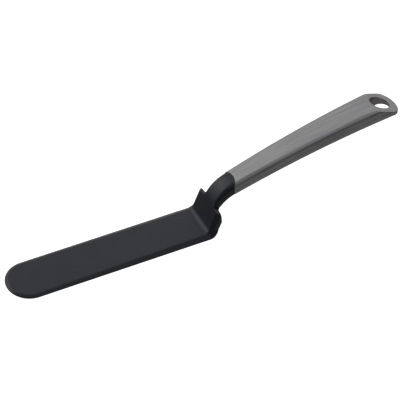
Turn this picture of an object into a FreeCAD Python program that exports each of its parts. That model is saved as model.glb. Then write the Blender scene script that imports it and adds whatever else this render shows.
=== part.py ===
import FreeCAD, Part
import math
import os

os.makedirs("parts", exist_ok=True)

# Offset spatula: a moulded nylon head in a hollow handle of two pressed steel shells.
# Lengths are in millimetres. While a piece is shaped, x is the distance from the blade's
# tip along the tool, y runs across the blade and z is the height above its underside.
# save() then moves the piece so that x = 0 is the middle of the tool's length.

# Whole tool
OVERALL_LENGTH = 327.0

# Blade
BLADE_WIDTH = 39.8
TIP_LENGTH = 18.3          # semi-axis of the elliptical tip
EDGE_LAND = 0.4            # upright face left below the bevel
TIP_THICKNESS = 1.9
HEEL_THICKNESS = 2.9
BEVEL_SLOPE = 30.0         # degrees above the underside

# Riser, the steep plate that lifts the handle
RISER_ANGLE = 67.0         # degrees above the blade
RISER_FOOT = 158.3         # where its front plane meets the blade's top plane
RISER_THICKNESS = 6.4
CREASE_RADIUS = 5.5        # between the blade's top and the riser's front
HEEL_RADIUS = 8.5          # between the underside and the riser's back
RISER_BEVEL_WIDTH = 3.2
RISER_BEVEL_DEPTH = 2.2
WAIST_HALF_WIDTH = 17.6    # the riser's sides draw in to here
EAR_HALF_WIDTH = 17.6      # at the ears' outer corners
EAR_HEIGHT = 18.2
EAR_TIP_HALF_WIDTH = 16.6
EAR_TIP_HEIGHT = 19.6
NOTCH_HALF_WIDTH = 9.2     # where the ears meet the neck
NOTCH_HEIGHT = 20.6
EAR_BACK_HEIGHT = 12.5     # above this the back of the ears leans forward
EAR_TIP_THICKNESS = 2.4

# Neck, which turns from the riser into the handle
NECK_ROOT = 9.0            # how far the neck runs down inside the riser
NECK_TOP_RADIUS = 30.0
NECK_BOTTOM_RADIUS = 22.0
NECK_FOOT_HALF_WIDTH = 9.1
NECK_STEP = 0.25           # how far the steel stands proud of the neck
NECK_CORNER_SHARE = 0.64   # corner radius as a share of half the depth

# Handle
HANDLE_SLOPE = 18.5        # degrees, at the mouth
HANDLE_ARCH_RADIUS = 830.0
MOUTH_X = 183.5            # the mouth's edge at the sides of the handle
MOUTH_CENTRE_HEIGHT = 31.0
MOUTH_HALF_WIDTH = 9.2
END_HALF_WIDTH = 13.3
MOUTH_THICKNESS = 11.8
END_THICKNESS = 14.8
CORNER_RADIUS = 3.8
CROWN_RADIUS = 90.0        # of the top and bottom faces, across the handle
SHEET = 0.8                # steel sheet
MOUTH_BULGE = 2.9          # how far the mouth's edge bows towards the handle's end
END_ROUND_LENGTH = 10.3    # semi-axis of the rounded end, seen from above
FACET_SLOPE = 20.0         # degrees, falling towards the end
END_EDGE_THICKNESS = 1.8

# Hanging hole
HOLE_RADIUS = 7.2
COLLAR_WALL = 0.8
HOLE_X = 312.7             # where the hole's axis meets the facet
HOLE_TILT = 10.0           # degrees, the axis leans towards the blade

# Joint between the head and the handle
SLEEVE_WALL = 1.2
TANG_LENGTH = 42.0
SLEEVE_LENGTH = 36.0
PLAY = 0.05                # gap between the pieces inside the handle

# Seam between the two shells
SEAM_SAG = 1.2             # how far it runs below the middle, half way along

# Sections that the bend, the riser, the neck and the handle are lofted through
BEND_STEPS = 10
RISER_STEPS = 6
NECK_STEPS = 9
HANDLE_STEPS = 5

# Shapes before they are trimmed
MARGIN = 1.0               # how far a cutting shape runs past what it cuts
SKY = 150.0                # a height well above the handle
HANDLE_LEAD = 12.0         # how far before the mouth the handle's sections start
HANDLE_RUN = 160.0         # where they stop, measured along the arch from the mouth
SEARCH_STEPS = 50          # halvings when a point is searched for

V = FreeCAD.Vector


def sin(angle):
    return math.sin(math.radians(angle))


def cos(angle):
    return math.cos(math.radians(angle))


def tan(angle):
    return math.tan(math.radians(angle))


def blend(start, end, share):
    return start + (end - start) * share


def side_point(pair):
    """A point on the tool's middle plane, from (x, z)."""
    return V(pair[0], 0, pair[1])


def arc_point(centre, radius, angle):
    """The point of a concave-up arc where its tangent rises at angle."""
    return (centre[0] + radius * sin(angle), centre[1] - radius * cos(angle))


def loft(sections, ruled=False):
    """A solid through the sections, turned right side out."""
    solid = Part.makeLoft(sections, True, ruled)
    if solid.Volume < 0:
        solid.reverse()
    return solid


def side_prism(points, half_width=BLADE_WIDTH):
    """A prism across the tool, from its outline in (x, z)."""
    corners = [V(x, -half_width, z) for x, z in points]
    face = Part.Face(Part.makePolygon(corners + corners[:1]))
    return face.extrude(V(0, 2 * half_width, 0))


# ---------------------------------------------------------------- blade

def blade_outline(inset, height, end_x):
    """The blade's outline from above, drawn in by inset."""
    half_width = BLADE_WIDTH / 2 - inset
    tip = Part.Ellipse(V(TIP_LENGTH, half_width, height), V(inset, 0, height),
                       V(TIP_LENGTH, 0, height))
    curve = Part.ArcOfEllipse(tip, 0, math.pi).toShape()
    left = V(TIP_LENGTH, half_width, height)
    left_end = V(end_x, half_width, height)
    right_end = V(end_x, -half_width, height)
    right = V(TIP_LENGTH, -half_width, height)
    lines = Part.makePolygon([right, right_end, left_end, left]).Edges
    return Part.Wire([curve] + lines)


def make_blade(end_x):
    """Flat blade with a bevel all round its upper edge, up to end_x."""
    rise = HEEL_THICKNESS + MARGIN
    inset = (rise - EDGE_LAND) / tan(BEVEL_SLOPE)
    land = Part.Face(blade_outline(0, 0, end_x)).extrude(V(0, 0, EDGE_LAND))
    bevelled = loft([blade_outline(0, EDGE_LAND, end_x),
                     blade_outline(inset, rise, end_x)], True)
    past_x = end_x + MARGIN
    above = rise + MARGIN
    top_cut = side_prism([(-MARGIN, TIP_THICKNESS), (end_x, HEEL_THICKNESS),
                          (past_x, HEEL_THICKNESS), (past_x, above), (-MARGIN, above)])
    return land.fuse(bevelled).cut(top_cut)


# ---------------------------------------------------------------- riser and ears

def riser_front(height):
    return (RISER_FOOT + (height - HEEL_THICKNESS) / tan(RISER_ANGLE), height)


def riser_back(height):
    return (riser_front(height)[0] + RISER_THICKNESS / sin(RISER_ANGLE), height)


def crease_centre():
    tangent = CREASE_RADIUS * tan(RISER_ANGLE / 2)
    return (RISER_FOOT - tangent, HEEL_THICKNESS + CREASE_RADIUS)


def heel_centre():
    tangent = HEEL_RADIUS * tan(RISER_ANGLE / 2)
    return (riser_back(0)[0] - tangent, HEEL_RADIUS)


def plate_section(front, back, half_width, bevel_width, land):
    """Outline of the plate across the tool, between a front and a back point."""
    front_point = side_point(front)
    back_point = side_point(back)
    up = front_point - back_point
    up.normalize()
    edge = back_point + up * land
    across = V(0, 1, 0)
    corners = [back_point - across * half_width,
               back_point + across * half_width,
               edge + across * half_width,
               front_point + across * (half_width - bevel_width),
               front_point - across * (half_width - bevel_width),
               edge - across * half_width]
    return Part.makePolygon(corners + corners[:1])


def riser_half_width(height):
    """The riser's sides draw in a little from the waist to the ears."""
    share = min(max(height - HEEL_RADIUS, 0) / (EAR_HEIGHT - HEEL_RADIUS), 1)
    return blend(WAIST_HALF_WIDTH, EAR_HALF_WIDTH, share ** 2)


def bend_sections(start_x):
    """Sections through the bend from the blade up into the riser, which also narrows."""
    blade_bevel = (HEEL_THICKNESS - EDGE_LAND) / tan(BEVEL_SLOPE)
    sections = [plate_section((start_x, HEEL_THICKNESS), (start_x, 0), BLADE_WIDTH / 2,
                              blade_bevel, EDGE_LAND)]
    for step in range(1, BEND_STEPS + 1):
        share = step / BEND_STEPS
        front = arc_point(crease_centre(), CREASE_RADIUS, RISER_ANGLE * share)
        back = arc_point(heel_centre(), HEEL_RADIUS, RISER_ANGLE * share)
        half_width = blend(BLADE_WIDTH / 2, WAIST_HALF_WIDTH, share ** 2 * (2 - share) ** 0.5)
        land = blend(EDGE_LAND, math.dist(front, back) - RISER_BEVEL_DEPTH, share ** 0.75)
        bevel = blend(blade_bevel, RISER_BEVEL_WIDTH, share)
        sections.append(plate_section(front, back, half_width, bevel, land))
    return sections


def riser_sections():
    """Sections up the riser, from the end of the bend to above the ears."""
    front_low = arc_point(crease_centre(), CREASE_RADIUS, RISER_ANGLE)[1]
    back_low = arc_point(heel_centre(), HEEL_RADIUS, RISER_ANGLE)[1]
    sections = []
    for step in range(1, RISER_STEPS + 1):
        share = step / RISER_STEPS
        front = riser_front(blend(front_low, NOTCH_HEIGHT + 2 * MARGIN, share))
        back = riser_back(blend(back_low, NOTCH_HEIGHT, share))
        land = math.dist(front, back) - RISER_BEVEL_DEPTH
        sections.append(plate_section(front, back, riser_half_width(back[1]),
                                      RISER_BEVEL_WIDTH, land))
    return sections


def ear_trim():
    """What stays of the riser: ears that lean forward to their tips, below sloping shoulders."""
    start_x = crease_centre()[0] - MARGIN
    low_back = riser_back(EAR_BACK_HEIGHT)
    tip_back_x = riser_front(NOTCH_HEIGHT)[0] + EAR_TIP_THICKNESS
    end_x = low_back[0] + MARGIN
    side = side_prism([(start_x, -MARGIN), (end_x, -MARGIN), low_back,
                       (tip_back_x, NOTCH_HEIGHT), (start_x, NOTCH_HEIGHT + MARGIN)])
    half_width = BLADE_WIDTH / 2 + MARGIN
    shoulder = [(half_width, -MARGIN), (half_width, EAR_HEIGHT),
                (EAR_HALF_WIDTH, EAR_HEIGHT), (EAR_TIP_HALF_WIDTH, EAR_TIP_HEIGHT),
                (NOTCH_HALF_WIDTH, NOTCH_HEIGHT)]
    other_shoulder = [(-y, z) for y, z in reversed(shoulder)]
    corners = [V(start_x, y, z) for y, z in shoulder + other_shoulder]
    outline = Part.Face(Part.makePolygon(corners + corners[:1]))
    front = outline.extrude(V(end_x - start_x, 0, 0))
    return side.common(front)


def make_riser(start_x):
    sections = bend_sections(start_x) + riser_sections()
    return loft(sections, True).common(ear_trim())


# ---------------------------------------------------------------- rounded sections

def rounded_section(centre, slope, half_width, half_height, radius):
    """A rounded rectangle with crowned top and bottom, square to a line that rises at slope."""
    along = V(cos(slope), 0, sin(slope))
    up = V(-along.z, 0, along.x)
    across = V(0, 1, 0)
    origin = side_point(centre)
    corner_y = half_width - radius
    crown_z = half_height - CROWN_RADIUS
    corner_z = crown_z + math.sqrt((CROWN_RADIUS - radius) ** 2 - corner_y ** 2)
    crown_angle = math.atan2(corner_y, corner_z - crown_z)
    middle_angle = (crown_angle + math.pi / 2) / 2
    touch = (CROWN_RADIUS * math.sin(crown_angle),
             crown_z + CROWN_RADIUS * math.cos(crown_angle))
    shoulder = (corner_y + radius * math.sin(middle_angle),
                corner_z + radius * math.cos(middle_angle))

    def at(y, z):
        return origin + across * y + up * z

    def arc(first, middle, last):
        return Part.Arc(at(*first), at(*middle), at(*last)).toShape()

    def line(first, last):
        return Part.makeLine(at(*first), at(*last))

    edges = [arc((-touch[0], touch[1]), (0, half_height), touch)]
    edges.append(arc(touch, shoulder, (half_width, corner_z)))
    edges.append(line((half_width, corner_z), (half_width, -corner_z)))
    edges.append(arc((half_width, -corner_z), (shoulder[0], -shoulder[1]), (touch[0], -touch[1])))
    edges.append(arc((touch[0], -touch[1]), (0, -half_height), (-touch[0], -touch[1])))
    edges.append(arc((-touch[0], -touch[1]), (-shoulder[0], -shoulder[1]),
                     (-half_width, -corner_z)))
    edges.append(line((-half_width, -corner_z), (-half_width, corner_z)))
    edges.append(arc((-half_width, corner_z), (-shoulder[0], shoulder[1]),
                     (-touch[0], touch[1])))
    return Part.Wire(edges)


# ---------------------------------------------------------------- handle body

def handle_station(distance):
    """Centre, slope and half sizes of the handle, at a distance along its arch from the mouth."""
    slope = HANDLE_SLOPE - math.degrees(distance / HANDLE_ARCH_RADIUS)
    x = MOUTH_X + HANDLE_ARCH_RADIUS * (sin(HANDLE_SLOPE) - sin(slope))
    z = MOUTH_CENTRE_HEIGHT + HANDLE_ARCH_RADIUS * (cos(slope) - cos(HANDLE_SLOPE))
    share = (x - MOUTH_X) / (OVERALL_LENGTH - MOUTH_X)
    half_width = blend(MOUTH_HALF_WIDTH, END_HALF_WIDTH, share)
    half_height = blend(MOUTH_THICKNESS, END_THICKNESS, share) / 2
    return (x, z), slope, half_width, half_height


def handle_loft(inset, start, end):
    """The handle's outer body drawn in by inset, from start to end along its arch."""
    sections = []
    for step in range(HANDLE_STEPS + 1):
        distance = blend(start, end, step / HANDLE_STEPS)
        centre, slope, half_width, half_height = handle_station(distance)
        sections.append(rounded_section(centre, slope, half_width - inset, half_height - inset,
                                        CORNER_RADIUS - inset))
    return loft(sections)


def handle_height_at(x, side):
    """Height of the handle's top (side 1) or underside (side -1) on its middle plane."""
    low = 0.0
    high = HANDLE_RUN
    for _ in range(SEARCH_STEPS):
        middle = (low + high) / 2
        centre, slope, _half_width, half_height = handle_station(middle)
        if centre[0] - side * half_height * sin(slope) < x:
            low = middle
        else:
            high = middle
    return centre[1] + side * half_height * cos(slope)


def end_outline(inset):
    """Prism with the handle's plan outline at its rounded end."""
    half_width = BLADE_WIDTH / 2
    start_x = MOUTH_X - 2 * HANDLE_LEAD
    end_x = OVERALL_LENGTH - inset
    straight_x = OVERALL_LENGTH - END_ROUND_LENGTH
    round_width = END_HALF_WIDTH - inset
    oval = Part.Ellipse(V(straight_x, round_width, 0), V(end_x, 0, 0), V(straight_x, 0, 0))
    curve = Part.ArcOfEllipse(oval, 0, math.pi).toShape()
    lines = Part.makePolygon([V(straight_x, -round_width, 0), V(straight_x, -half_width, 0),
                              V(start_x, -half_width, 0), V(start_x, half_width, 0),
                              V(straight_x, half_width, 0), V(straight_x, round_width, 0)])
    return Part.Face(Part.Wire([curve] + lines.Edges)).extrude(V(0, 0, SKY))


def facet_height(x):
    """Height of the facet's plane, which leaves a thin edge at the handle's end."""
    edge_height = handle_height_at(OVERALL_LENGTH, -1) + END_EDGE_THICKNESS
    return edge_height + (OVERALL_LENGTH - x) * tan(FACET_SLOPE)


def facet_cutter(inset):
    """Everything above the sloping facet at the handle's end."""
    drop = inset / cos(FACET_SLOPE)
    start_x = MOUTH_X
    end_x = OVERALL_LENGTH + MARGIN
    return side_prism([(start_x, facet_height(start_x) - drop),
                       (end_x, facet_height(end_x) - drop), (end_x, SKY), (start_x, SKY)])


def mouth_cutter():
    """Round post whose edge is the bowed edge of the handle's mouth."""
    radius = (MOUTH_HALF_WIDTH ** 2 + MOUTH_BULGE ** 2) / (2 * MOUTH_BULGE)
    centre_x = MOUTH_X + MOUTH_BULGE - radius
    post = Part.makeCylinder(radius, SKY, V(centre_x, 0, -MARGIN))
    block = Part.makeBox(centre_x, 2 * BLADE_WIDTH, SKY, V(0, -BLADE_WIDTH, -MARGIN))
    return post.fuse(block)


def handle_body(inset):
    """The handle as a solid that starts before the mouth, drawn in by inset all round."""
    body = handle_loft(inset, -HANDLE_LEAD, HANDLE_RUN)
    body = body.common(end_outline(inset))
    return body.cut(facet_cutter(inset))


# ---------------------------------------------------------------- hanging hole

def hole_axis():
    return V(-sin(HOLE_TILT), 0, cos(HOLE_TILT))


def hole_post(radius):
    reach = 3 * END_THICKNESS
    start = V(HOLE_X, 0, facet_height(HOLE_X)) - hole_axis() * reach
    return Part.makeCylinder(radius, 2 * reach, start, hole_axis())


# ---------------------------------------------------------------- pieces

def seam_cutter():
    """Everything below the weld seam, which starts half way up the mouth and ends low."""
    start = handle_station(-HANDLE_LEAD - MARGIN)[0]
    end_x = OVERALL_LENGTH + MARGIN
    end_z = handle_height_at(OVERALL_LENGTH, -1) + END_EDGE_THICKNESS / 2
    middle = handle_station(HANDLE_RUN / 2)[0]
    curve = Part.Arc(side_point(start), side_point((middle[0], middle[1] - SEAM_SAG)),
                     side_point((end_x, end_z))).toShape()
    lines = Part.makePolygon([V(end_x, 0, end_z), V(end_x, 0, 0), V(start[0], 0, 0),
                              side_point(start)])
    face = Part.Face(Part.Wire([curve] + lines.Edges))
    face.translate(V(0, -BLADE_WIDTH, 0))
    return face.extrude(V(0, 2 * BLADE_WIDTH, 0))


def turned_outline(first, last, radius, distance):
    """A point of an outline that climbs the riser through first, rounds a corner and runs
    along the handle's slope through last. Distance is measured from the corner's start."""
    rise = (last[1] - first[1]) - (last[0] - first[0]) * tan(HANDLE_SLOPE)
    run = rise / (tan(RISER_ANGLE) - tan(HANDLE_SLOPE))
    turn = RISER_ANGLE - HANDLE_SLOPE
    tangent = radius * tan(turn / 2)
    start = (first[0] + run - tangent * cos(RISER_ANGLE),
             first[1] + run * tan(RISER_ANGLE) - tangent * sin(RISER_ANGLE))
    slope = RISER_ANGLE - min(max(math.degrees(distance / radius), 0), turn)
    straight = min(distance, 0) or max(distance - radius * math.radians(turn), 0)
    x = start[0] + radius * (sin(RISER_ANGLE) - sin(slope)) + straight * cos(slope)
    z = start[1] + radius * (cos(slope) - cos(RISER_ANGLE)) + straight * sin(slope)
    return (x, z), slope


def neck_sections():
    """Square sections up the neck, from inside the riser to the mouth."""
    centre, slope, mouth_width, half_height = handle_station(MOUTH_BULGE)
    half_height = half_height - NECK_STEP
    top = (centre[0] - half_height * sin(slope), centre[1] + half_height * cos(slope))
    bottom = (centre[0] + half_height * sin(slope), centre[1] - half_height * cos(slope))
    length = NECK_TOP_RADIUS * math.radians(RISER_ANGLE - slope)
    sections = []
    for step in range(NECK_STEPS + 1):
        distance = blend(-NECK_ROOT, length, step / NECK_STEPS)
        front, tilt = turned_outline(riser_front(0), top, NECK_TOP_RADIUS, distance)
        low = -2 * NECK_TOP_RADIUS
        high = 2 * NECK_TOP_RADIUS
        for _ in range(SEARCH_STEPS):
            middle = (low + high) / 2
            back = turned_outline(riser_back(0), bottom, NECK_BOTTOM_RADIUS, middle)[0]
            if (back[0] - front[0]) * cos(tilt) + (back[1] - front[1]) * sin(tilt) < 0:
                low = middle
            else:
                high = middle
        heart = ((front[0] + back[0]) / 2, (front[1] + back[1]) / 2)
        half_width = blend(NECK_FOOT_HALF_WIDTH, mouth_width - NECK_STEP, step / NECK_STEPS)
        half_depth = math.dist(front, back) / 2
        sections.append(rounded_section(heart, tilt, half_width, half_depth,
                                        NECK_CORNER_SHARE * half_depth))
    centre, slope, half_width, half_height = handle_station(2 * MOUTH_BULGE)
    sections.append(rounded_section(centre, slope, half_width - NECK_STEP,
                                    half_height - NECK_STEP, CORNER_RADIUS - NECK_STEP))
    return sections


def make_neck(mouth):
    """The neck, which ends in a tongue that fills the bowed edge of the mouth."""
    return loft(neck_sections()).common(mouth)


def make_tang():
    """The part of the head that is held inside the handle."""
    return handle_loft(SHEET + SLEEVE_WALL + PLAY, -2 * MARGIN, TANG_LENGTH)


def make_blade_head(mouth):
    bend_x = crease_centre()[0]
    head = make_blade(bend_x).fuse(make_riser(bend_x))
    head = head.fuse(make_neck(mouth)).fuse(make_tang())
    return head.removeSplitter()


def make_tang_sleeve(mouth):
    """Plastic sleeve that grips the tang inside the handle."""
    outer = handle_loft(SHEET + PLAY, -4 * MARGIN, SLEEVE_LENGTH)
    inner = handle_loft(SHEET + SLEEVE_WALL, -6 * MARGIN, SLEEVE_LENGTH + 2 * MARGIN)
    gap = mouth.copy()
    gap.translate(V(PLAY, 0, 0))
    return outer.cut(inner).cut(gap)


def make_shells(mouth):
    """The two pressed halves of the handle."""
    hollow = handle_body(0).cut(mouth).cut(handle_body(SHEET))
    hollow = hollow.cut(hole_post(HOLE_RADIUS + COLLAR_WALL))
    lower_side = seam_cutter()
    return hollow.cut(lower_side), hollow.common(lower_side)


def make_collar():
    """Tube that lines the hanging hole, trimmed flush with the steel."""
    tube = hole_post(HOLE_RADIUS + COLLAR_WALL).cut(hole_post(HOLE_RADIUS))
    return tube.common(handle_body(0))


def save(name, shape):
    placed = shape.copy()
    placed.translate(V(-OVERALL_LENGTH / 2, 0, 0))
    placed.exportStep("parts/" + name + ".step")
    box = placed.optimalBoundingBox()
    print(name, "solids", len(placed.Solids), "valid", placed.isValid(),
          "volume", round(placed.Volume), "x", round(box.XMin, 2), round(box.XMax, 2),
          "y", round(box.YMin, 2), round(box.YMax, 2), "z", round(box.ZMin, 2), round(box.ZMax, 2))


def main():
    mouth = mouth_cutter()
    upper, lower = make_shells(mouth)
    save("blade_head", make_blade_head(mouth))
    save("handle_upper_shell", upper)
    save("handle_lower_shell", lower)
    save("hanging_hole_collar", make_collar())
    save("tang_sleeve", make_tang_sleeve(mouth))


main()
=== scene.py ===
import math

import bmesh
import bpy
import numpy as np
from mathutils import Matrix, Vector


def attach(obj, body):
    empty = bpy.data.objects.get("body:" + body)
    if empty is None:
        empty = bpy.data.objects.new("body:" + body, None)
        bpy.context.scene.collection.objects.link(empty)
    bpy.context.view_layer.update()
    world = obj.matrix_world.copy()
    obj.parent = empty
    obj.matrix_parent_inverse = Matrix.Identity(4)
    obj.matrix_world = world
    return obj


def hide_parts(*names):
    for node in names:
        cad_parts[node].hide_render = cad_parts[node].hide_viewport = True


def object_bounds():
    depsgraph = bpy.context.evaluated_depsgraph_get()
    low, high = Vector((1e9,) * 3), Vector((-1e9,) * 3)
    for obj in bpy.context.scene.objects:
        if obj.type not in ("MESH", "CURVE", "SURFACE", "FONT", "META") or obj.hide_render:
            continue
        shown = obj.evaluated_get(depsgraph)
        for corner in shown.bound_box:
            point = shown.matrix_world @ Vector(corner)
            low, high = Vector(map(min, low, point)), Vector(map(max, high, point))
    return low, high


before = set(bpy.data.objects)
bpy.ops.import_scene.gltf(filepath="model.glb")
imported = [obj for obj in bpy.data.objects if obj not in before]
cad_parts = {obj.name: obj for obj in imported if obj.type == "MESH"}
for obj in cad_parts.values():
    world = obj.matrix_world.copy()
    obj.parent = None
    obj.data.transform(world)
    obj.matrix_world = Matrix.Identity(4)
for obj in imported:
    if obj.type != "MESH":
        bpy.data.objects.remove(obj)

# Offset spatula: the nylon head, the two steel shells of the handle and the hole's collar are
# built here as smooth meshes with rounded edges, in the shape of their CAD nodes.
# Shaping is done in millimetres: x from the blade's tip, y across, z up from the underside.
CAD_LOW, CAD_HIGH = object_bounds()
MM = 0.001
LENGTH = (CAD_HIGH.x - CAD_LOW.x) / MM
BLADE_WIDTH = (CAD_HIGH.y - CAD_LOW.y) / MM

# Blade
TIP_LENGTH = 18.3
EDGE_LAND = 0.4
TIP_THICKNESS = 1.9
HEEL_THICKNESS = 2.9
BEVEL_SLOPE = math.radians(30)

# Riser and ears
RISER_ANGLE = math.radians(67)
RISER_FOOT = 158.3
RISER_THICKNESS = 6.4
CREASE_RADIUS = 5.5
HEEL_RADIUS = 8.5
RISER_BEVEL_WIDTH = 3.2
RISER_BEVEL_DEPTH = 2.2
WAIST_HALF_WIDTH = 17.6
EAR_HALF_WIDTH = 17.6
EAR_HEIGHT = 18.2
EAR_TIP_HALF_WIDTH = 16.6
EAR_TIP_HEIGHT = 19.6
NOTCH_HALF_WIDTH = 9.2
NOTCH_HEIGHT = 20.6
EAR_BACK_HEIGHT = 12.5
EAR_TIP_THICKNESS = 2.4

# Neck and tang
NECK_ROOT = 9.0
NECK_TOP_RADIUS = 30.0
NECK_BOTTOM_RADIUS = 22.0
NECK_FOOT_HALF_WIDTH = 9.1
NECK_STEP = 0.25
NECK_CORNER_SHARE = 0.64
STEP_HALF_WIDTH = NECK_FOOT_HALF_WIDTH + 1.0    # the step beside the neck's foot
TANG_INSET = 2.05
TANG_LENGTH = 42.0
TANG_ROUND = 0.6
TANG_TIP = ((0.2, 0.15), (0.0, TANG_ROUND))     # distance from the tang's end, more inset

# Handle
HANDLE_SLOPE = math.radians(18.5)
HANDLE_ARCH_RADIUS = 830.0
MOUTH_X = 183.5
MOUTH_CENTRE_HEIGHT = 31.0
MOUTH_HALF_WIDTH = 9.2
END_HALF_WIDTH = 13.3
MOUTH_THICKNESS = 11.8
END_THICKNESS = 14.8
CORNER_RADIUS = 3.8
CROWN_RADIUS = 90.0
SHEET = 0.8
MOUTH_BULGE = 2.9
END_ROUND_LENGTH = 10.3
FACET_SLOPE = math.radians(20)
END_EDGE_THICKNESS = 1.8

# Hanging hole
HOLE_RADIUS = 7.2
COLLAR_WALL = 0.8
COLLAR_LIP = 0.55
LIP_CURVE = ((1.0, 0.0), (0.55, 0.11), (0.29, 0.29), (0.11, 0.55), (0.0, 1.0))
HOLE_X = 312.7
HOLE_TILT = math.radians(10)

# Softness of the edges, in millimetres or as shares
MOULD_EDGE = 0.35
BEVEL_EDGE = 1.0
SHEET_EDGE = 0.6
LEAST_WALL = 0.6
FACET_EDGE = 0.8
RIM_EDGE = 0.22
RIM_SHARES = (1.0, 0.3)             # how much of that the first two rows are drawn in
SEAM_GROOVE = 0.12
NECK_BACK_ZONE = 2.5                # rounding where the neck's back meets the ears
STEP_ZONE = 1.2
SIDE_ZONE = 0.1
EDGE_WALL_SHARE = 0.4               # most of the handle's wall that its rounded edge takes
ZONE_LIMIT = 0.96                   # most of a run that the corners at its ends take

# Blends from one shape to the next, in millimetres or as powers and shares
STEP_BLEND = 2.0
NOTCH_BLEND = 4.0
NOTCH_LEDGE = 0.2
NOTCH_EAR_SHARE = 0.66
NECK_START = 0.6
WAIST_POWER = 0.5
LAND_POWER = 0.75
SIDE_MARKS = (0.44, 0.5, 0.56)
BOW_FADE = 6                        # the mouth's bow fades out over a sixth of the handle
CORNER_SPAN_SHARE = 0.7             # most of a line across the handle that its corner takes
SEAM_FACING_ROW = 5                 # a row whose seam faces sideways, which tells out from in

# Lines across the handle turn to face the hole: degrees round it from the handle's end
STRAIGHT_END = 125
FAN_START = 110
FAN_SHARE = (180 - STRAIGHT_END) / (180 - FAN_START)

# How finely the meshes are divided
RUN_STEPS = (6, 2, 4, 1, 3, 7)      # faces between a half section's corners, back to front
ARC_STEPS = 5                       # faces round each of those corners
SHOULDER_ZONES = (3.0, 0.7, 0.7)    # roundings up the riser's side and over the ear
SHOULDER_RUNS = (4, 5, 2, 9)
SHOULDER_ARC_STEPS = 4
TIP_ROWS = 25
BLADE_ROWS = 22
BEND_ROWS = 19
NECK_STEPS = 34
NECK_SAMPLES = 70
TANG_START = 5.0
TANG_ROWS = 8
TANG_STEP_SHARES = (0.12, 0.5, 1.0)
STRAIGHT_LINES = 56
ROUND_LINES = 49
CORNER_TURNS = 15
TOP_POINTS = 8
WALL_SHARES = (0.0, 0.12, 0.3, 0.65)
RIM_ROW_SHARES = (0.06, 0.2)
COLLAR_TURNS = 97
COLLAR_WALL_POINTS = 7
COLLAR_BACK_POINTS = 5

# Searches and the cleaning of meshes, whose distances are in metres
SEARCH_STEPS = 40
SETTLE_STEPS = 8
OUTLINE_REACH = 40.0
TINY = 1e-9
MERGE_DISTANCE = 2e-6
SPECK_DISTANCE = 1e-6
SHARP_ANGLE = math.radians(40)

# Colours, most of them as the two ends of a range
NYLON_BODY = ((0.0120, 0.0145, 0.0215), (0.0175, 0.0200, 0.0270))
NYLON_WORN = ((0.034, 0.036, 0.040), (0.050, 0.052, 0.056))
NYLON_TINT = (0.90, 0.95, 1.0, 1)
HANDLE_STEEL = ((0.315, 0.311, 0.326), (0.455, 0.450, 0.452))
COLLAR_STEEL = ((0.27, 0.26, 0.26), (0.42, 0.40, 0.395))
# Paler steel for the sharp edges: partly wear, partly a painted highlight along the rims
STEEL_WORN_AND_HIGHLIT = ((0.50, 0.50, 0.50), (0.66, 0.65, 0.64))
SLEEVE_BODY = ((0.085, 0.085, 0.092), (0.11, 0.11, 0.118))
FLOOR_BODY = ((0.88, 0.88, 0.88), (0.90, 0.90, 0.90))
WHITE = (1, 1, 1, 1)

# Noise: scale, detail and how its lattice is stretched. Scales are per millimetre on the steel
# and per metre elsewhere.
NYLON_CLOUDS = (45, 3)
NYLON_GRAIN = (2600, 2)
NYLON_FLOW = (70, 4, (0.25, 1, 1))
FINE_STREAKS = (2.6, 4, (0.02, 1, 1))
BROAD_STREAKS = (0.42, 4, (0.06, 1, 1))
CLOUDY_STREAKS = (0.10, 2, (0.35, 1, 1))
SLEEVE_CLOUDS = (120, 3)
SLEEVE_GRAIN = (1800, 2)
FLOOR_CLOUDS = (2, 2)

# Surfaces: roughness ranges, the sharpness where edges wear (and, on the steel, carry a painted
# highlight), and the depth of the grain
NYLON_ROUGHNESS = (0.21, 0.30)
NYLON_GRAIN_ROUGHNESS = (0.0, 0.08)
NYLON_IOR = 1.53
NYLON_WEAR = (0.52, 0.60)
HANDLE_ROUGHNESS = 0.36
COLLAR_ROUGHNESS = 0.38
FINE_ROUGHNESS = (-0.05, 0.06)
BROAD_ROUGHNESS = (-0.04, 0.06)
STEEL_WEAR_AND_HIGHLIGHT = (0.54, 0.64)
SLEEVE_ROUGHNESS = (0.42, 0.55)
FLOOR_ROUGHNESS = 0.9
GRAIN_DEPTH = 0.00002
BRUSH_DEPTH = 0.00001

# The brushed grain follows the height too where a face is less level than this
BRUSH_LEVEL = 0.85
BRUSH_BLEND = 0.4

# Studio: each glow's direction, where its light starts and is full, and its strength
BACK_GLOW = ((0.15, 0.75, 0.64), 0.30, 0.85, 0.52)
SIDE_GLOW = ((-0.70, 0.60, 0.39), 0.85, 1.0, 0.42)
FRONT_GLOW = ((0.08, -0.60, 0.80), 0.85, 1.0, 0.36)
FLOOR_GLOW = ((0, 0, -1), 0.0, 0.6, 0.12)
AMBIENT = 0.115
SOFTBOX_PLACE = (-0.81, 1.12, 1.15)
SOFTBOX_TARGET = (0, 0, 0.03)
SOFTBOX_SIZE = (0.9, 0.9)
SOFTBOX_WATTS = 1.2
FLOOR_HALF_SIZE = 6.0
FLOOR_DROP = 0.0001
CAMERA_PLACE = (-0.4209, -0.8567, 0.8930)
CAMERA_AIM = (0.3228, 0.6646, -0.6739)
CAMERA_LENS = 153


# ---------------------------------------------------------------- small sums

def lerp(start, end, share):
    return start + (end - start) * share


def smooth_step(share):
    share = np.clip(share, 0, 1)
    return share * share * (3 - 2 * share)


def soft_min(first, second, width):
    """The smaller of two heights, with the corner between them rounded."""
    return (first + second - np.sqrt((first - second) ** 2 + width ** 2)) / 2


def arc_point(centre, radius, angle):
    """The point of a concave-up arc where its tangent rises at angle."""
    return np.array([centre[0] + radius * math.sin(angle), centre[1] - radius * math.cos(angle)])


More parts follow.
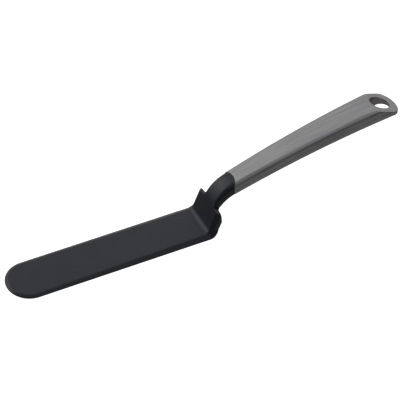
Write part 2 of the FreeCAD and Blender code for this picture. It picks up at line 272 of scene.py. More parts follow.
def round_corner(before, corner, after, steps):
    """Points from before to after round a corner, along a conic that is a circle's arc."""
    into = (corner - before) / max(np.linalg.norm(corner - before), TINY)
    out = (after - corner) / max(np.linalg.norm(after - corner), TINY)
    pull = math.cos(math.acos(float(np.clip(into @ out, -1, 1))) / 2)
    points = []
    for step in range(steps):
        t = step / steps
        weights = ((1 - t) ** 2, 2 * t * (1 - t) * pull, t ** 2)
        total = before * weights[0] + corner * weights[1] + after * weights[2]
        points.append(total / sum(weights))
    return points


def rounded_path(corners, zones, runs, arc_steps):
    """A path through corners, each rounded over its zone, with runs faces between them."""
    corners = np.array(corners, float)
    lengths = np.linalg.norm(np.diff(corners, axis=0), axis=1)
    zones = np.array([0.0] + list(zones) + [0.0])
    needed = zones[:-1] + zones[1:]
    fit = np.minimum(1, ZONE_LIMIT * lengths / np.maximum(needed, TINY))
    path = []
    start = corners[0]
    for index in range(1, len(corners) - 1):
        ahead = (corners[index + 1] - corners[index]) / lengths[index]
        behind = (corners[index - 1] - corners[index]) / lengths[index - 1]
        before = corners[index] + behind * zones[index] * fit[index - 1]
        after = corners[index] + ahead * zones[index] * fit[index]
        path += [lerp(start, before, step / runs[index - 1]) for step in range(runs[index - 1])]
        path += round_corner(before, corners[index], after, arc_steps)
        start = after
    path += [lerp(start, corners[-1], step / runs[-1]) for step in range(runs[-1] + 1)]
    return np.array(path)


def half_section(corners, zones):
    """Half a section of the head, from its back's middle round the side to its front's middle."""
    return rounded_path(corners, zones, RUN_STEPS, ARC_STEPS)


# ---------------------------------------------------------------- blade

def top_height(x):
    return lerp(TIP_THICKNESS, HEEL_THICKNESS, np.minimum(x / bend_start(), 1))


def blade_corners(top):
    bevel = (top - EDGE_LAND) / math.tan(BEVEL_SLOPE)
    half_width = BLADE_WIDTH / 2
    return [(0, 0), (NECK_FOOT_HALF_WIDTH, 0), (STEP_HALF_WIDTH, 0), (half_width, 0),
            (half_width, EDGE_LAND), (half_width - bevel, top), (0, top)]


BLADE_ZONES = (MOULD_EDGE, MOULD_EDGE, MOULD_EDGE / 2, MOULD_EDGE, BEVEL_EDGE)


def tip_row(angle):
    """Half a row across the elliptical tip; angle is 0 at the very tip."""
    bevel = (TIP_THICKNESS - EDGE_LAND) / math.tan(BEVEL_SLOPE)
    rim_x = TIP_LENGTH - (TIP_LENGTH - bevel) * math.cos(angle)
    top = float(top_height(rim_x))
    section = half_section(blade_corners(top), BLADE_ZONES)
    inset = BLADE_WIDTH / 2 - section[:, 0]
    rim = 2 * bevel
    squeeze = (TIP_LENGTH - rim) / (BLADE_WIDTH / 2 - rim)
    inset_x = np.where(inset < rim, inset, rim + (inset - rim) * squeeze)
    x = TIP_LENGTH - (TIP_LENGTH - inset_x) * math.cos(angle)
    y = section[:, 0] * math.sin(angle)
    share = np.clip((section[:, 1] - EDGE_LAND) / (top - EDGE_LAND), 0, 1)
    z = section[:, 1] + share * (top_height(x) - top)
    return np.stack([x, y, z], axis=1)


def blade_row(x):
    section = half_section(blade_corners(float(top_height(x))), BLADE_ZONES)
    return np.stack([np.full(len(section), x), section[:, 0], section[:, 1]], axis=1)


# ---------------------------------------------------------------- bend, riser and ears

def riser_front(height):
    return np.array([RISER_FOOT + (height - HEEL_THICKNESS) / math.tan(RISER_ANGLE), height])


def riser_back(height):
    return riser_front(height) + np.array([RISER_THICKNESS / math.sin(RISER_ANGLE), 0])


def crease_centre():
    tangent = CREASE_RADIUS * math.tan(RISER_ANGLE / 2)
    return (RISER_FOOT - tangent, HEEL_THICKNESS + CREASE_RADIUS)


def heel_centre():
    tangent = HEEL_RADIUS * math.tan(RISER_ANGLE / 2)
    return (riser_back(0)[0] - tangent, HEEL_RADIUS)


def bend_start():
    return crease_centre()[0]


def placed_row(section, front, back_mid, back_side, depth):
    """A half section set between its front point and its back point, which may lie lower in
    the middle of the row than at its sides."""
    side = smooth_step((section[:, 0] - NECK_FOOT_HALF_WIDTH) / STEP_BLEND)
    back = lerp(np.array(back_mid)[None, :], np.array(back_side)[None, :], side[:, None])
    share = (section[:, 1] / depth)[:, None]
    middle = lerp(back, np.array(front)[None, :], share)
    return np.stack([middle[:, 0], section[:, 0], middle[:, 1]], axis=1)


def bend_row(share):
    front = arc_point(crease_centre(), CREASE_RADIUS, RISER_ANGLE * share)
    back = arc_point(heel_centre(), HEEL_RADIUS, RISER_ANGLE * share)
    depth = float(np.linalg.norm(front - back))
    blade_bevel = (HEEL_THICKNESS - EDGE_LAND) / math.tan(BEVEL_SLOPE)
    narrowing = share ** 2 * (2 - share) ** WAIST_POWER
    half_width = lerp(BLADE_WIDTH / 2, WAIST_HALF_WIDTH, narrowing)
    land = lerp(EDGE_LAND, depth - RISER_BEVEL_DEPTH, share ** LAND_POWER)
    bevel = lerp(blade_bevel, RISER_BEVEL_WIDTH, share)
    corners = [(0, 0), (NECK_FOOT_HALF_WIDTH, 0), (STEP_HALF_WIDTH, 0),
               (half_width, 0), (half_width, land), (half_width - bevel, depth), (0, depth)]
    back_zone = lerp(MOULD_EDGE / 2, 2 * MOULD_EDGE, share)
    zones = (MOULD_EDGE, MOULD_EDGE, back_zone, 2 * back_zone, BEVEL_EDGE)
    return placed_row(half_section(corners, zones), front, back, back, depth)


def bend_end_heights():
    front = arc_point(crease_centre(), CREASE_RADIUS, RISER_ANGLE)[1]
    back = arc_point(heel_centre(), HEEL_RADIUS, RISER_ANGLE)[1]
    return front, back


def shoulder_path():
    """Half widths and heights up the riser's side and over the ear to the notch."""
    low = bend_end_heights()[0]
    waist = (WAIST_HALF_WIDTH, (low + EAR_HEIGHT) / 2)
    corners = [(WAIST_HALF_WIDTH, low), waist, (EAR_HALF_WIDTH, EAR_HEIGHT),
               (EAR_TIP_HALF_WIDTH, EAR_TIP_HEIGHT), (NOTCH_HALF_WIDTH, NOTCH_HEIGHT)]
    return rounded_path(corners, SHOULDER_ZONES, SHOULDER_RUNS, SHOULDER_ARC_STEPS)


def ear_back_x(height):
    """x of the ear's back, which leans forward above EAR_BACK_HEIGHT."""
    share = np.clip((height - EAR_BACK_HEIGHT) / (NOTCH_HEIGHT - EAR_BACK_HEIGHT), 0, 1)
    tip = riser_front(NOTCH_HEIGHT)[0] + EAR_TIP_THICKNESS
    leaning = lerp(riser_back(EAR_BACK_HEIGHT)[0], tip, share)
    return riser_back(height)[0] if share <= 0 else leaning


def riser_row(half_width, height):
    """Half a row across the riser, whose outer part is the ear."""
    low_front, low_back = bend_end_heights()
    share = (height - low_front) / (NOTCH_HEIGHT - low_front)
    lean = RISER_THICKNESS * math.cos(RISER_ANGLE)
    front = riser_front(height)
    back_mid = riser_back(height - lerp(low_front - low_back, lean, share))
    back_side = riser_back(height - lerp(low_front - low_back, 0, share))
    depth = float(np.linalg.norm(front - back_side))
    run = RISER_THICKNESS / math.sin(RISER_ANGLE)
    ear = (riser_back(height)[0] - ear_back_x(height)) / run * depth
    bevel_start = max(half_width, WAIST_HALF_WIDTH) - RISER_BEVEL_WIDTH
    drop = RISER_BEVEL_DEPTH * max(half_width - bevel_start, 0) / RISER_BEVEL_WIDTH
    land = max(depth - drop, ear + 2 * MOULD_EDGE)
    if half_width < bevel_start + MOULD_EDGE:
        bevel_start = half_width - 2 * MOULD_EDGE
        land = depth - MOULD_EDGE
    step = min(STEP_HALF_WIDTH, half_width - MOULD_EDGE)
    root = min(NECK_FOOT_HALF_WIDTH, step - MOULD_EDGE / 2)
    corners = [(0, 0), (root, 0), (step, ear), (half_width, ear), (half_width, land),
               (bevel_start, depth), (0, depth)]
    zones = (lerp(MOULD_EDGE, NECK_BACK_ZONE, share), lerp(MOULD_EDGE, STEP_ZONE, share),
             2 * MOULD_EDGE, 2 * MOULD_EDGE, BEVEL_EDGE)
    return placed_row(half_section(corners, zones), front, back_mid, back_side, depth)


# ---------------------------------------------------------------- neck and tang

def turned_outline(first, last, radius, distance):
    """A point of an outline that climbs the riser through first, rounds a corner and runs
    along the handle's slope through last. Distance is measured from the corner's start."""
    rise = (last[1] - first[1]) - (last[0] - first[0]) * math.tan(HANDLE_SLOPE)
    run = rise / (math.tan(RISER_ANGLE) - math.tan(HANDLE_SLOPE))
    turn = RISER_ANGLE - HANDLE_SLOPE
    tangent = radius * math.tan(turn / 2)
    start = (first[0] + run - tangent * math.cos(RISER_ANGLE),
             first[1] + run * math.tan(RISER_ANGLE) - tangent * math.sin(RISER_ANGLE))
    slope = RISER_ANGLE - min(max(distance / radius, 0), turn)
    straight = min(distance, 0) or max(distance - radius * turn, 0)
    x = start[0] + radius * (math.sin(RISER_ANGLE) - math.sin(slope))
    z = start[1] + radius * (math.cos(slope) - math.cos(RISER_ANGLE))
    return np.array([x + straight * math.cos(slope), z + straight * math.sin(slope)]), slope


def neck_ends():
    """The neck's top and bottom point at the mouth, and the length of its front's turn."""
    x, z, slope, _half_width, half_height = handle_arch(MOUTH_BULGE)
    reach = (half_height - NECK_STEP) * np.array([-math.sin(slope), math.cos(slope)])
    centre = np.array([x, z])
    return centre + reach, centre - reach, NECK_TOP_RADIUS * (RISER_ANGLE - slope)


def neck_points(distance):
    """Front and back point of the neck and its half width, square to the front outline."""
    top, bottom, length = neck_ends()
    if distance > length:
        x, z, slope, half_width, half_height = handle_arch(MOUTH_BULGE + distance - length)
        reach = (half_height - NECK_STEP) * np.array([-math.sin(slope), math.cos(slope)])
        return np.array([x, z]) + reach, np.array([x, z]) - reach, half_width - NECK_STEP
    front, tilt = turned_outline(riser_front(0), top, NECK_TOP_RADIUS, distance)
    low, high = -2 * NECK_TOP_RADIUS, 2 * NECK_TOP_RADIUS
    for _ in range(SEARCH_STEPS):
        middle = (low + high) / 2
        back = turned_outline(riser_back(0), bottom, NECK_BOTTOM_RADIUS, middle)[0]
        if (back[0] - front[0]) * math.cos(tilt) + (back[1] - front[1]) * math.sin(tilt) < 0:
            low = middle
        else:
            high = middle
    share = (distance + NECK_ROOT) / (length + NECK_ROOT)
    mouth_width = handle_arch(MOUTH_BULGE)[3]
    return front, back, lerp(NECK_FOOT_HALF_WIDTH, mouth_width - NECK_STEP, share)


def round_corners(half_width, depth):
    """Corners and zones of a rounded section with straight sides."""
    side = [(half_width, mark * depth) for mark in SIDE_MARKS]
    corners = [(0, 0), (half_width, 0), *side, (half_width, depth), (0, depth)]
    radius = NECK_CORNER_SHARE * depth / 2
    return np.array(corners), np.array((radius, SIDE_ZONE, SIDE_ZONE, SIDE_ZONE, radius))


def crowned(section, depth):
    """The section with its front and back crowned."""
    crown = 1 - section[:, 0] ** 2 / (CROWN_RADIUS * depth)
    height = depth / 2 + (section[:, 1] - depth / 2) * crown
    return np.stack([section[:, 0], height], axis=1)


def neck_row(distance):
    """Half a row across the neck, which grows out of the riser between the ears."""
    front, back, half_width = neck_points(distance)
    depth = float(np.linalg.norm(front - back))
    corners, zones = round_corners(half_width, depth)
    share = float(smooth_step(distance / NOTCH_BLEND))
    step = NOTCH_HALF_WIDTH - MOULD_EDGE
    ear = NOTCH_EAR_SHARE * depth
    notch = np.array([(0, 0), (step - NOTCH_LEDGE, 0), (step, ear), (NOTCH_HALF_WIDTH, ear),
                      (NOTCH_HALF_WIDTH, depth - MOULD_EDGE),
                      (NOTCH_HALF_WIDTH - 2 * MOULD_EDGE, depth), (0, depth)])
    notch_zones = np.array((NECK_BACK_ZONE, STEP_ZONE, 2 * MOULD_EDGE, 2 * MOULD_EDGE,
                            BEVEL_EDGE))
    section = half_section(lerp(notch, corners, share), lerp(notch_zones, zones, share))
    section = lerp(section, crowned(section, depth), share)
    return placed_row(section, front, back, back, depth)


def mouth_edge_x(y):
    """x of the mouth's bowed edge."""
    radius = (MOUTH_HALF_WIDTH ** 2 + MOUTH_BULGE ** 2) / (2 * MOUTH_BULGE)
    reach = np.sqrt(np.maximum(radius ** 2 - np.asarray(y) ** 2, 0))
    return MOUTH_X + MOUTH_BULGE - radius + reach


def neck_rows():
    """Rows from the notch to the mouth, the last of which follow its bowed edge."""
    length = neck_ends()[2] + 3 * MOUTH_BULGE
    distances = np.linspace(NECK_START, length, NECK_SAMPLES)
    table = np.array([neck_row(distance) for distance in distances])
    edge = np.empty(table.shape[1])
    for index in range(table.shape[1]):
        line = table[:, index, :]
        edge[index] = np.interp(0, line[:, 0] - mouth_edge_x(line[:, 1]), distances)
    rows = []
    for step in range(NECK_STEPS + 1):
        at = lerp(distances[0], edge, step / NECK_STEPS)
        row = [[np.interp(at[index], distances, table[:, index, axis]) for axis in range(3)]
               for index in range(table.shape[1])]
        rows.append(np.array(row))
    return rows


def tang_row(distance, inset=TANG_INSET):
    x, z, slope, half_width, half_height = handle_arch(distance)
    depth = 2 * (half_height - inset)
    corners, zones = round_corners(half_width - inset, depth)
    section = crowned(half_section(corners, zones), depth)
    reach = depth / 2 * np.array([-math.sin(slope), math.cos(slope)])
    centre = np.array([x, z])
    return placed_row(section, centre + reach, centre - reach, centre - reach, depth)


def tang_rows(last_neck_row):
    """The step from the neck down to the tang, behind the steel's edge, and the tang."""
    first = tang_row(0.0)
    first[:, 0] = mouth_edge_x(first[:, 1])
    first[:, 2] += (first[:, 0] - tang_row(0.0)[:, 0]) * math.tan(HANDLE_SLOPE)
    rows = [lerp(last_neck_row, first, share) for share in TANG_STEP_SHARES]
    straight_end = TANG_LENGTH - TANG_ROUND
    rows += [tang_row(distance) for distance in np.linspace(TANG_START, straight_end, TANG_ROWS)]
    rows += [tang_row(TANG_LENGTH - back, TANG_INSET + inset) for back, inset in TANG_TIP]
    return rows


def head_rows():
    tip = [tip_row(angle) for angle in np.linspace(0, math.pi / 2, TIP_ROWS)]
    blade_x = np.linspace(TIP_LENGTH, bend_start(), BLADE_ROWS)[1:-1]
    blade = [blade_row(x) for x in blade_x]
    bend = [bend_row(share) for share in np.linspace(0, 1, BEND_ROWS)]
    riser = [riser_row(*point) for point in shoulder_path()[1:]]
    neck = neck_rows()
    return tip + blade + bend + riser + neck + tang_rows(neck[-1])


# ---------------------------------------------------------------- handle surfaces

def handle_arch(distance):
    """Centre, slope and half sizes of the handle, at a distance along its arch."""
    slope = HANDLE_SLOPE - distance / HANDLE_ARCH_RADIUS
    x = MOUTH_X + HANDLE_ARCH_RADIUS * (math.sin(HANDLE_SLOPE) - np.sin(slope))
    z = MOUTH_CENTRE_HEIGHT + HANDLE_ARCH_RADIUS * (np.cos(slope) - math.cos(HANDLE_SLOPE))
    share = (x - MOUTH_X) / (LENGTH - MOUTH_X)
    half_width = lerp(MOUTH_HALF_WIDTH, END_HALF_WIDTH, share)
    half_height = lerp(MOUTH_THICKNESS, END_THICKNESS, share) / 2
    return x, z, slope, half_width, half_height


def section_height(y, half_width, half_height):
    """Height of the rounded section's top above its centre, at y across it."""
    y = np.minimum(np.abs(y), half_width)
    corner_y = half_width - CORNER_RADIUS
    crown_z = half_height - CROWN_RADIUS
    corner_z = crown_z + np.sqrt((CROWN_RADIUS - CORNER_RADIUS) ** 2 - corner_y ** 2)
    touch = CROWN_RADIUS * np.sin(np.arctan2(corner_y, corner_z - crown_z))
    past = np.maximum(y - corner_y, 0)
    corner = corner_z + np.sqrt(np.maximum(CORNER_RADIUS ** 2 - past ** 2, 0))
    crown = crown_z + np.sqrt(CROWN_RADIUS ** 2 - y ** 2)
    return np.where(y < touch, crown, corner)


def handle_surface(x, y, side):
    """Height of the handle's top (side 1) or underside (side -1) above the plan point (x, y)."""
    distance = np.asarray(x, float) - MOUTH_X
    for _ in range(SETTLE_STEPS):
        centre_x, centre_z, slope, half_width, half_height = handle_arch(distance)
        up = side * section_height(y, half_width, half_height)
        distance = distance + (x - centre_x + up * np.sin(slope)) / np.cos(slope)
    return centre_z + up * np.cos(slope)


FACET_EDGE_HEIGHT = float(handle_surface(LENGTH, 0.0, -1)) + END_EDGE_THICKNESS


def facet_height(x):
    return FACET_EDGE_HEIGHT + (LENGTH - x) * math.tan(FACET_SLOPE)


def handle_top(x, y):
    """The top with the facet cut into it."""
    return soft_min(handle_surface(x, y, 1), facet_height(x), FACET_EDGE)


def handle_bottom(x, y):
    return handle_surface(x, y, -1)


def outline_half_width(x):
    """Half width of the handle's plan outline."""
    side = lerp(MOUTH_HALF_WIDTH, END_HALF_WIDTH, (x - MOUTH_X) / (LENGTH - MOUTH_X))
    reach = np.clip((x - (LENGTH - END_ROUND_LENGTH)) / END_ROUND_LENGTH, 0, 1)
    return np.minimum(side, END_HALF_WIDTH * np.sqrt(1 - reach ** 2))


def outline_point(angle):
    """Where a ray from the hole's centre, at angle from the handle's end, meets the outline."""
    low, high = 0.0, OUTLINE_REACH
    for _ in range(SEARCH_STEPS):
        middle = (low + high) / 2
        x = HOLE_X + middle * math.cos(angle)
        y = middle * math.sin(angle)
        inside = x < LENGTH and y < outline_half_width(x)
        inside = inside and handle_top(x, y) - handle_bottom(x, y) > LEAST_WALL
        low, high = (middle, high) if inside else (low, middle)
    return np.array([HOLE_X + low * math.cos(angle), low * math.sin(angle)])


def hole_point(angle, radius, side):
    """Plan point on the tilted hole's wall, where it meets the top or the underside."""
    height = handle_top if side > 0 else handle_bottom
    y = radius * math.sin(angle)
    x = HOLE_X
    for _ in range(SETTLE_STEPS):
        rise = float(height(x, y)) - facet_height(HOLE_X)
        x = HOLE_X - rise * math.tan(HOLE_TILT) + radius * math.cos(angle) / math.cos(HOLE_TILT)
    return np.array([x, y])


def handle_lines(side):
    """Plan lines across half the handle, each from the outline to the middle or the hole:
    its kind, its two ends as x or as angles, and its share of the mouth's bow."""
    straight_end = outline_point(math.radians(STRAIGHT_END))[0]
    hole_start = hole_point(math.pi, HOLE_RADIUS + COLLAR_WALL, side)[0]
    lines = []
    for share in np.linspace(0, 1, STRAIGHT_LINES)[:-1]:
        outer_x = lerp(MOUTH_X, straight_end, share)
        inner_x = lerp(MOUTH_X, hole_start, share)
        lines.append(("straight", outer_x, inner_x, max(1 - share * BOW_FADE, 0) ** 2))
    for share in np.linspace(0, 1, ROUND_LINES):
        inner = math.pi * (1 - share)
        outer = inner - max(inner - math.radians(FAN_START), 0) * FAN_SHARE
        lines.append(("round", outer, inner, 0))
    return lines


def line_points(line, side, shares):
    """Plan points along one of the handle's lines, at shares of the way in."""
    kind, outer, inner, bowed = line
    if kind == "round":
        start = outline_point(outer)
        end = hole_point(inner, HOLE_RADIUS + COLLAR_WALL, side)
    else:
        start = np.array([outer, outline_half_width(outer)])
        end = np.array([inner, 0.0])
    points = lerp(start[None, :], end[None, :], shares[:, None])
    if bowed:
        points[:, 0] += (mouth_edge_x(points[:, 1]) - MOUTH_X) * bowed
    return points, float(np.linalg.norm(end - start))


def edge_round(inset, radius):
    """How far a rounded edge of this radius falls away at an inset from the outline."""
    inside = np.clip(radius - inset, 0, radius)
    return radius - np.sqrt(np.maximum(radius ** 2 - inside ** 2, 0))


def shell_row(line, side):
    """Half a row of one shell's outer face, from the seam to the middle or the hole."""
    turn = np.linspace(0, math.pi / 2, CORNER_TURNS)
    span = line_points(line, side, np.array([0.0, 1.0]))[1]
    corner = min(CORNER_RADIUS, CORNER_SPAN_SHARE * span)
    insets = corner * (1 - np.cos(turn))
    insets = np.concatenate([insets, np.linspace(corner, span, TOP_POINTS)[1:]])
    plan, _span = line_points(line, side, insets / span)
    x, y = plan[0]
    wall_height = float(handle_top(x, y)) - float(handle_bottom(x, y))
    edge = min(SHEET_EDGE, EDGE_WALL_SHARE * wall_height)
    fall = edge_round(insets, edge)
    if side > 0:
        z = handle_top(plan[:, 0], plan[:, 1]) - fall
    else:
        z = handle_bottom(plan[:, 0], plan[:, 1]) + fall
    points = np.stack([plan[:, 0], plan[:, 1], z], axis=1)
    seam = np.array([x, y, float(handle_bottom(x, y)) + wall_height / 2])
    wall = [lerp(seam, points[0], share) for share in WALL_SHARES]
    return np.concatenate([np.array(wall), points])


def pressed_edges(rows):
    """Draws the mouth's edge and the seam in a little, so that both catch the light."""
    normals = np.cross(np.gradient(rows, axis=0), np.gradient(rows, axis=1))
    normals /= np.maximum(np.linalg.norm(normals, axis=2, keepdims=True), TINY)
    inward = -normals * np.sign(normals[SEAM_FACING_ROW, 0, 1])
    rows = rows.copy()
    rows[:, 0] += inward[:, 0] * SEAM_GROOVE
    for index, share in enumerate(RIM_SHARES):
        rows[index] += inward[index] * (RIM_EDGE * share)
    return rows


def shell_rows(side):
    """Half of one shell's outer face, with extra rows close behind the mouth's edge."""
    rows = np.array([shell_row(line, side) for line in handle_lines(side)])
    rim = [lerp(rows[0], rows[1], share) for share in RIM_ROW_SHARES]
    return pressed_edges(np.concatenate([rows[:1], rim, rows[1:]]))


# ---------------------------------------------------------------- meshes

def to_frame(points):
    """Points in millimetres from the blade's tip, as metres in the frame."""
    points = np.asarray(points, float).reshape(-1, 3) * MM
    return points + np.array([CAD_LOW.x, 0, CAD_LOW.z])


def ring_faces(rows, ring, closed):
    faces = []
    columns = ring if closed else ring - 1
    for row in range(rows - 1):
        for column in range(columns):
            after = (column + 1) % ring
            faces.append((row * ring + column, row * ring + after,
                          (row + 1) * ring + after, (row + 1) * ring + column))
    return faces


def make_piece(name, points, faces, material):
    """A smooth mesh object with its doubled points merged and its sharp edges kept."""
    mesh = bpy.data.meshes.new(name)
    mesh.from_pydata(to_frame(points).tolist(), [], faces)
    shape = bmesh.new()
    shape.from_mesh(mesh)
    bmesh.ops.remove_doubles(shape, verts=shape.verts, dist=MERGE_DISTANCE)
    bmesh.ops.dissolve_degenerate(shape, edges=shape.edges, dist=SPECK_DISTANCE)
    bmesh.ops.recalc_face_normals(shape, faces=shape.faces)
    shape.to_mesh(mesh)
    shape.free()
    mesh.shade_smooth()
    mesh.set_sharp_from_angle(angle=SHARP_ANGLE)
    mesh.materials.append(material)
    piece = bpy.data.objects.new(name, mesh)
    bpy.context.scene.collection.objects.link(piece)
    return piece


def add_brush_lines(piece):
    """Stores each point's place along, across and down the handle, for the brushed grain."""
    mesh = piece.data
    count = len(mesh.vertices)
    place = np.zeros(count * 3)
    mesh.vertices.foreach_get("co", place)
    place = place.reshape(-1, 3) / MM - np.array([CAD_LOW.x, 0, CAD_LOW.z]) / MM
    normal = np.zeros(count * 3)
    mesh.vertices.foreach_get("normal", normal)
    level = np.abs(normal.reshape(-1, 3)[:, 2])
    centre_z = (handle_surface(place[:, 0], 0.0, 1) + handle_surface(place[:, 0], 0.0, -1)) / 2
    down = (place[:, 2] - centre_z) * np.clip((BRUSH_LEVEL - level) / BRUSH_BLEND, 0, 1)
    lines = np.stack([place[:, 0], place[:, 1], down], axis=1)
    attribute = mesh.attributes.new("brush", "FLOAT_VECTOR", "POINT")
    attribute.data.foreach_set("vector", lines.astype(np.float32).ravel())


def finish_piece(piece, node):
    """Rides the piece on the part's one body, in place of its CAD node."""
    weighted = piece.modifiers.new("weighted normals", "WEIGHTED_NORMAL")
    weighted.keep_sharp = True
    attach(piece, "root")
    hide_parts(node)


def make_head(material):
    rows = np.array(head_rows())
    mirrored = rows[:, -2:0:-1] * np.array([1, -1, 1])
    rings = np.concatenate([rows, mirrored], axis=1)
    count, ring = rings.shape[:2]
    faces = ring_faces(count, ring, True)
    faces.append(tuple((count - 1) * ring + index for index in range(ring)))
    piece = make_piece("nylon_head", rings, faces, material)
    finish_piece(piece, "blade_head")


def make_shell(name, node, side, material):
    half = shell_rows(side)
    count, ring = half.shape[:2]
    faces = ring_faces(count, ring, False)
    shift = count * ring
    mirrored = half * np.array([1, -1, 1])
    faces += [tuple(index + shift for index in reversed(face)) for face in faces]
    piece = make_piece(name, np.concatenate([half, mirrored]), faces, material)
    add_brush_lines(piece)
    wall = piece.modifiers.new("sheet", "SOLIDIFY")
    wall.thickness = SHEET * MM
    wall.offset = -1
    finish_piece(piece, node)


def collar_ring(angle):
    """The collar's closed section at one angle round the hole."""
    profile = [(HOLE_RADIUS + COLLAR_WALL, 0.0)]
    profile += [(HOLE_RADIUS + COLLAR_LIP * out, COLLAR_LIP * fall) for out, fall in LIP_CURVE]
    points = []
    for side in (1, -1):
        height = handle_top if side > 0 else handle_bottom
        ring = []
        for radius, fall in profile:
            x, y = hole_point(angle, radius, side)
            ring.append(np.array([x, y, float(height(x, y)) - side * fall]))
        points.append(ring)
    top, bottom = points
    wall_shares = np.linspace(0, 1, COLLAR_WALL_POINTS)[1:-1]
    back_shares = np.linspace(0, 1, COLLAR_BACK_POINTS)[1:-1]
    wall = [lerp(top[-1], bottom[-1], share) for share in wall_shares]
    back = [lerp(bottom[0], top[0], share) for share in back_shares]
    return np.array(top + wall + bottom[::-1] + back)


def make_collar(material):
    angles = np.linspace(0, 2 * math.pi, COLLAR_TURNS)
    rings = np.array([collar_ring(angle) for angle in angles])
    count, ring = rings.shape[:2]
    piece = make_piece("hole_collar", rings, ring_faces(count, ring, True), material)
    add_brush_lines(piece)
    finish_piece(piece, "hanging_hole_collar")


# ---------------------------------------------------------------- materials

def new_material(name):
    material = bpy.data.materials.new(name)
    material.use_nodes = True
    nodes = material.node_tree.nodes
    shader = nodes["Principled BSDF"]
    return material, nodes, material.node_tree.links, shader


def noise(nodes, links, vector, scale, detail, stretch=(1, 1, 1)):
    """A noise texture whose lattice is stretched along each axis."""
    mapping = nodes.new("ShaderNodeMapping")
    mapping.inputs["Scale"].default_value = stretch
    links.new(vector, mapping.inputs["Vector"])
    texture = nodes.new("ShaderNodeTexNoise")
    texture.inputs["Scale"].default_value = scale
    texture.inputs["Detail"].default_value = detail
    links.new(mapping.outputs["Vector"], texture.inputs["Vector"])
    return texture.outputs["Fac"]


def mapped(nodes, links, value, low, high, start=0.3, stop=0.7):
    span = nodes.new("ShaderNodeMapRange")
    span.inputs["From Min"].default_value = start
    span.inputs["From Max"].default_value = stop
    span.inputs["To Min"].default_value = low
    span.inputs["To Max"].default_value = high
    links.new(value, span.inputs["Value"])
    return span.outputs["Result"]


def ramp(nodes, links, value, low, high, ends):
    """A colour that runs between two ends as the value goes from low to high."""
    colours = nodes.new("ShaderNodeValToRGB")
    elements = colours.color_ramp.elements
    for element, position, colour in zip(elements, (low, high), ends):
        element.position = position
        element.color = (*colour, 1)
    links.new(value, colours.inputs["Fac"])
    return colours.outputs["Color"]


def mix_colour(nodes, links, share, first, second):
    mix = nodes.new("ShaderNodeMix")
    mix.data_type = "RGBA"
    links.new(share, mix.inputs["Factor"])
    links.new(first, mix.inputs["A"])
    links.new(second, mix.inputs["B"])
    return mix.outputs["Result"]


def add(nodes, links, first, second, operation="ADD"):
    sum_node = nodes.new("ShaderNodeMath")
    sum_node.operation = operation
    links.new(first, sum_node.inputs[0])
    links.new(second, sum_node.inputs[1])
    return sum_node.outputs["Value"]


def bump(nodes, links, shader, height, distance, strength=1.0):
    node = nodes.new("ShaderNodeBump")
    node.inputs["Strength"].default_value = strength
    node.inputs["Distance"].default_value = distance
    links.new(height, node.inputs["Height"])
    links.new(node.outputs["Normal"], shader.inputs["Normal"])


def edge_share(nodes, links, low, high):
    """How sharp and proud the surface is, for wear along the edges. On the steel it also places a
    painted highlight along the edges.
    """
    geometry = nodes.new("ShaderNodeNewGeometry")
    return mapped(nodes, links, geometry.outputs["Pointiness"], 0, 1, low, high)


def nylon_material():
    """Black nylon with a satin skin, faint flow marks and edges rubbed a little paler."""
    material, nodes, links, shader = new_material("satin moulded nylon")
    place = nodes.new("ShaderNodeTexCoord").outputs["Object"]
    cloudy = noise(nodes, links, place, *NYLON_CLOUDS)
    grain = noise(nodes, links, place, *NYLON_GRAIN)
    flow = noise(nodes, links, place, *NYLON_FLOW)
    body = ramp(nodes, links, cloudy, 0.35, 0.65, NYLON_BODY)
    worn = ramp(nodes, links, flow, 0.3, 0.7, NYLON_WORN)
    links.new(mix_colour(nodes, links, edge_share(nodes, links, *NYLON_WEAR), body, worn),
              shader.inputs["Base Color"])
    links.new(add(nodes, links, mapped(nodes, links, flow, *NYLON_ROUGHNESS),
                  mapped(nodes, links, grain, *NYLON_GRAIN_ROUGHNESS)),
              shader.inputs["Roughness"])
    shader.inputs["IOR"].default_value = NYLON_IOR
    shader.inputs["Specular Tint"].default_value = NYLON_TINT
    bump(nodes, links, shader, grain, GRAIN_DEPTH, 0.5)
    return material


def steel_material(name, ends, roughness, grain_depth):
    """Satin steel, brushed along the handle, in streaks of several widths, and painted paler
    along its sharp edges: partly wear, partly a painted highlight on the rims.
    """
    material, nodes, links, shader = new_material(name)
    place = nodes.new("ShaderNodeAttribute")
    place.attribute_name = "brush"
    place = place.outputs["Vector"]
    fine = noise(nodes, links, place, *FINE_STREAKS)
    broad = noise(nodes, links, place, *BROAD_STREAKS)
    cloudy = noise(nodes, links, place, *CLOUDY_STREAKS)
    tone = ramp(nodes, links, broad, 0.40, 0.60, ends)
    bright = ramp(nodes, links, fine, 0.37, 0.63, ends)
    streaks = mix_colour(nodes, links, mapped(nodes, links, cloudy, 0.25, 0.75), tone, bright)
    # Sharp edges turn paler: partly wear, partly a painted highlight along the rims
    edge = ramp(nodes, links, fine, 0.3, 0.7, STEEL_WORN_AND_HIGHLIT)
    links.new(mix_colour(nodes, links, edge_share(nodes, links, *STEEL_WEAR_AND_HIGHLIGHT), streaks, edge),
              shader.inputs["Base Color"])
    smooth, rough = [roughness + change for change in FINE_ROUGHNESS]
    links.new(add(nodes, links, mapped(nodes, links, fine, smooth, rough),
                  mapped(nodes, links, broad, *BROAD_ROUGHNESS)), shader.inputs["Roughness"])
    shader.inputs["Metallic"].default_value = 1.0
    bump(nodes, links, shader, fine, BRUSH_DEPTH * grain_depth, 0.4)
    return material


